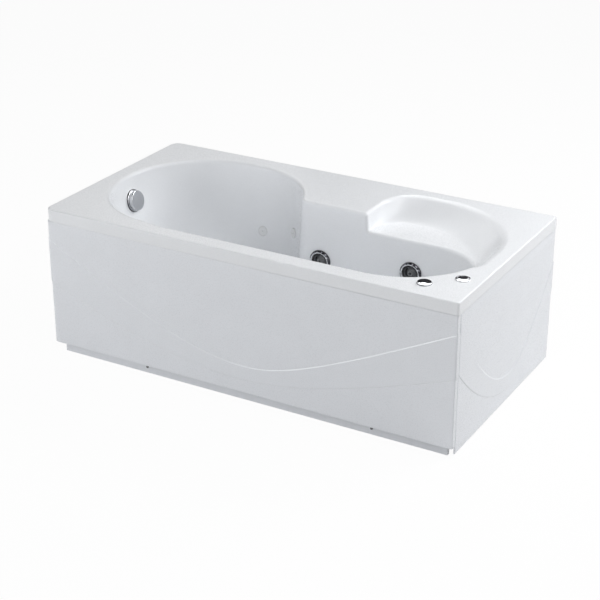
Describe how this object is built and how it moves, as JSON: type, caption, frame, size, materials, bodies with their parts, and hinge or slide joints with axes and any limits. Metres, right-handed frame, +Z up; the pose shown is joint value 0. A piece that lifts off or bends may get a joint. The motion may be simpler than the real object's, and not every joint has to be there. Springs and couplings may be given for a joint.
{
  "type": "jetted bathtub",
  "caption": "Rectangular jetted bathtub with a wave-fronted apron, a round bowl end, a sunken end shelf, aimable chrome jets, deck controls, pop-up waste and a pump on a steel frame.",
  "frame": {"origin": "on the floor, under the middle of the rim", "axes": "+X along the tub from the overflow end to the end with the controls, +Y from the front panel to the wall behind, +Z up"},
  "size_m": [1.7, 0.88, 0.6001],
  "materials": {
    "acrylic": "high-gloss white acrylic",
    "panel": "gloss white",
    "plinth": "satin white",
    "screw": "dull steel",
    "frame": "galvanised",
    "steel": "zinc plated",
    "board": "raw board",
    "chrome": "polished",
    "nozzle": "grey moulding",
    "white_trim": "gloss white",
    "pvc_white": "satin",
    "pvc_grey": "satin",
    "rubber": "matte",
    "pump_black": "matte",
    "motor": "cast, satin",
    "iron": "laminated",
    "clear_tube": "milky"
  },
  "bodies": {
    "tub": {"air_control_body": "chrome", "air_pipe": "pvc_white", "air_switch_tube": "clear_tube", "base_board": "board", "button_spring": "steel", "control_nuts": "pvc_grey", "end_panel": "panel", "foot_lock_nuts": "steel", "frame_cross_members": "frame", "frame_long_rails": "frame", "frame_posts": "frame", "frame_rim_rails": "frame", "front_panel": "panel", "front_plinth": "plinth", "jet_bodies": "pvc_grey", "jet_gaskets": "rubber", "jet_lock_nuts": "pvc_grey", "mini_jet_bodies": "pvc_grey", "mini_jet_faces": "white_trim", "mini_jet_pipe": "pvc_white", "motor_fan_cover": "pump_black", "motor_housing": "motor", "motor_stator": "iron", "overflow_body": "pvc_white", "overflow_gasket": "rubber", "overflow_pipe": "pvc_white", "overflow_rosette": "chrome", "panel_brackets": "frame", "panel_screws": "screw", "power_button_body": "chrome", "pump_base": "pump_black", "pump_cover": "pump_black", "pump_volute": "pump_black", "suction_body": "pvc_grey", "suction_cover": "chrome", "suction_nut": "pvc_grey", "suction_pipe": "pvc_white", "terminal_box": "pump_black", "tub_shell": "acrylic", "waste_body": "pvc_white", "waste_flange": "chrome", "waste_gasket": "rubber", "water_manifold": "pvc_white"},
    "overflow_knob": {"overflow_knob": "chrome"},
    "drain_plug": {"drain_plug": "chrome"},
    "jet_bezel_1": {"jet_bezel_1": "chrome"},
    "jet_nozzle_1": {"jet_nozzle_1": "nozzle"},
    "jet_bezel_2": {"jet_bezel_2": "chrome"},
    "jet_nozzle_2": {"jet_nozzle_2": "nozzle"},
    "air_knob": {"air_knob": "chrome"},
    "power_button": {"power_button": "chrome"},
    "pump_rotor": {"impeller": "nozzle", "motor_shaft": "steel", "motor_rotor": "iron", "motor_fan": "pump_black"},
    "foot_1": {"levelling_foot_1": "steel"},
    "foot_2": {"levelling_foot_2": "steel"},
    "foot_3": {"levelling_foot_3": "steel"},
    "foot_4": {"levelling_foot_4": "steel"}
  },
  "joints": [
    {"name": "overflow_turn", "type": "hinge", "parent": "tub", "child": "overflow_knob", "pos_m": [-0.761, 0.004, 0.49], "axis": [0.9724, 0, 0.2334], "range_deg": [0, 90]},
    {"name": "plug_lift", "type": "slide", "parent": "tub", "child": "drain_plug", "axis": [0, 0, 1], "range_m": [0, 0.012]},
    {"name": "jet_1_flow", "type": "hinge", "parent": "tub", "child": "jet_bezel_1", "pos_m": [0.028, 0.115, 0.357], "axis": [0, -1, 0], "range_deg": [0, 90]},
    {"name": "jet_1_aim", "type": "hinge", "parent": "jet_bezel_1", "child": "jet_nozzle_1", "pos_m": [0.028, 0.135, 0.357], "axis": [1, 0, 0], "range_deg": [-15, 15]},
    {"name": "jet_2_flow", "type": "hinge", "parent": "tub", "child": "jet_bezel_2", "pos_m": [0.412, 0.115, 0.389], "axis": [0, -1, 0], "range_deg": [0, 90]},
    {"name": "jet_2_aim", "type": "hinge", "parent": "jet_bezel_2", "child": "jet_nozzle_2", "pos_m": [0.412, 0.135, 0.389], "axis": [1, 0, 0], "range_deg": [-15, 15]},
    {"name": "air_knob_turn", "type": "hinge", "parent": "tub", "child": "air_knob", "pos_m": [0.683, -0.354, 0.59], "axis": [0, 0, 1], "range_deg": [0, 180]},
    {"name": "power_press", "type": "slide", "parent": "tub", "child": "power_button", "axis": [0, 0, -1], "range_m": [0, 0.003], "stiffness_N_per_m": 800, "springref_m": -0.002, "deforming": ["button_spring"]},
    {"name": "pump_spin", "type": "hinge", "parent": "tub", "child": "pump_rotor", "pos_m": [0.15, 0.29, 0.182], "axis": [1, 0, 0], "continuous": true},
    {"name": "foot_1_level", "type": "slide", "parent": "tub", "child": "foot_1", "axis": [0, 0, 1], "range_m": [-0.012, 0.012]},
    {"name": "foot_2_level", "type": "slide", "parent": "tub", "child": "foot_2", "axis": [0, 0, 1], "range_m": [-0.012, 0.012]},
    {"name": "foot_3_level", "type": "slide", "parent": "tub", "child": "foot_3", "axis": [0, 0, 1], "range_m": [-0.012, 0.012]},
    {"name": "foot_4_level", "type": "slide", "parent": "tub", "child": "foot_4", "axis": [0, 0, 1], "range_m": [-0.012, 0.012]}
  ],
  "couplings": [
    {"joint": "plug_lift", "follows": "overflow_turn", "m_per_rad": 0.0076394}
  ]
}
